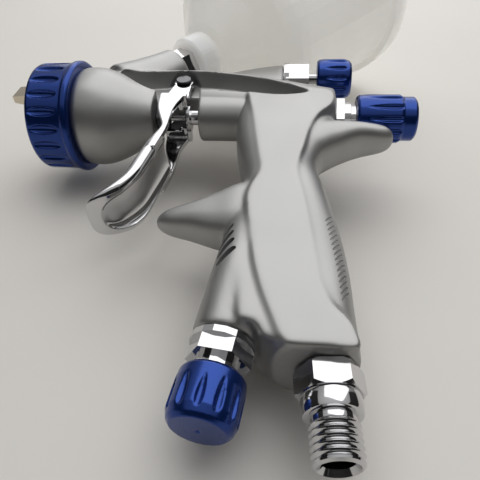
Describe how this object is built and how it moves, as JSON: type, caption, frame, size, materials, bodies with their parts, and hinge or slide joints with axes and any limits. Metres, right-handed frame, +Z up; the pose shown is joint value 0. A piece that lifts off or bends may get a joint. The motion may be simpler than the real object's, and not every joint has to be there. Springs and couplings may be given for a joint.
{
  "type": "gravity-feed spray gun",
  "caption": "Gravity-feed paint spray gun lying on its side, with trigger, fluid, fan and air knobs, air cap ring, air inlet and a lidded paint cup.",
  "frame": {"origin": "middle of the underside, on the surface that the gun lies on", "axes": "+Z up out of the gun's left side, +Y from the air inlet towards the cup, -X the way it sprays"},
  "size_m": [0.1912, 0.3384, 0.1093],
  "materials": {
    "satin_casting": "satin, fine blasted",
    "blue_anodised": "satin anodised",
    "champagne": "satin anodised",
    "chrome": "polished",
    "steel": "turned",
    "brass": "turned",
    "seal_rubber": "matte",
    "seal_plastic": "matte",
    "filter_mesh": "matte",
    "white_nylon": "translucent"
  },
  "bodies": {
    "gun": {"gun_body": "satin_casting", "head_gasket": "seal_rubber", "air_distributor": "brass", "fluid_nozzle": "steel", "needle_packing": "seal_plastic", "packing_nut": "brass", "valve_gland": "brass", "air_valve_seat": "seal_plastic", "air_valve_spring": "steel", "needle_spring": "steel", "fluid_bushing": "chrome", "fluid_lock_nut": "chrome", "fluid_thrust_ring": "chrome", "fan_valve_nut": "chrome", "regulator_nut": "chrome", "air_inlet": "chrome", "trigger_pin": "chrome", "trigger_pin_screw": "chrome", "cup_adapter": "chrome", "cup_filter": "filter_mesh"},
    "ring": {"air_cap_ring": "blue_anodised"},
    "cap": {"air_cap": "champagne"},
    "trigger": {"trigger": "chrome"},
    "needle": {"fluid_needle": "steel"},
    "valve_spindle": {"air_valve_spindle": "chrome"},
    "fluid_control": {"fluid_knob": "blue_anodised"},
    "fan_control": {"fan_knob": "blue_anodised", "fan_valve_stem": "chrome"},
    "regulator": {"regulator_knob": "blue_anodised", "regulator_stem": "chrome"},
    "cup": {"paint_cup": "white_nylon"},
    "lid": {"cup_lid": "white_nylon"},
    "vent": {"vent_plug": "seal_rubber"}
  },
  "joints": [
    {"name": "trigger_pivot", "type": "hinge", "parent": "gun", "child": "trigger", "pos_m": [-0.02116, -0.00259, 0.03577], "axis": [-0.0503, -0.1356, 0.9895], "range_deg": [0, 12], "stiffness_Nm_per_rad": 1.2, "springref_deg": -11.46},
    {"name": "needle_slide", "type": "slide", "parent": "gun", "child": "needle", "axis": [0.9987, 0, 0.0508], "range_m": [0, 0.0036], "deforming": ["needle_spring"]},
    {"name": "valve_slide", "type": "slide", "parent": "gun", "child": "valve_spindle", "axis": [0.9987, 0, 0.0508], "range_m": [0, 0.0036], "deforming": ["air_valve_spring"]},
    {"name": "fluid_knob_turn", "type": "hinge", "parent": "gun", "child": "fluid_control", "pos_m": [-0.06398, -0.01943, 0.03129], "axis": [0.9987, 0, 0.0508], "range_deg": [0, 720]},
    {"name": "fan_knob_turn", "type": "hinge", "parent": "gun", "child": "fan_control", "pos_m": [-0.06423, 0.01683, 0.03624], "axis": [0.9987, 0, 0.0508], "range_deg": [0, 540]},
    {"name": "regulator_knob_turn", "type": "hinge", "parent": "gun", "child": "regulator", "pos_m": [0.01121, -0.1621, 0.01556], "axis": [-0.1166, -0.9832, -0.1407], "range_deg": [0, 720]},
    {"name": "ring_turn", "type": "hinge", "parent": "gun", "child": "ring", "pos_m": [-0.06398, -0.01943, 0.03129], "axis": [-0.9987, 0, -0.0508], "range_deg": [0, 360]},
    {"name": "cap_turn", "type": "hinge", "parent": "gun", "child": "cap", "pos_m": [-0.06398, -0.01943, 0.03129], "axis": [-0.9987, 0, -0.0508], "range_deg": [-90, 90]},
    {"name": "cup_turn", "type": "hinge", "parent": "gun", "child": "cup", "pos_m": [-0.03134, 0.02614, 0.03919], "axis": [0.6094, 0.7807, 0.138], "range_deg": [0, 360]},
    {"name": "lid_turn", "type": "hinge", "parent": "cup", "child": "lid", "pos_m": [-0.03134, 0.02614, 0.03919], "axis": [0.6094, 0.7807, 0.138], "range_deg": [0, 360]},
    {"name": "vent_plug_lift", "type": "slide", "parent": "lid", "child": "vent", "axis": [0.6094, 0.7807, 0.138], "range_m": [0, 0.012]}
  ],
  "couplings": [
    {"joint": "needle_slide", "follows": "trigger_pivot", "m_per_rad": 0.017},
    {"joint": "valve_slide", "follows": "trigger_pivot", "m_per_rad": 0.017}
  ]
}
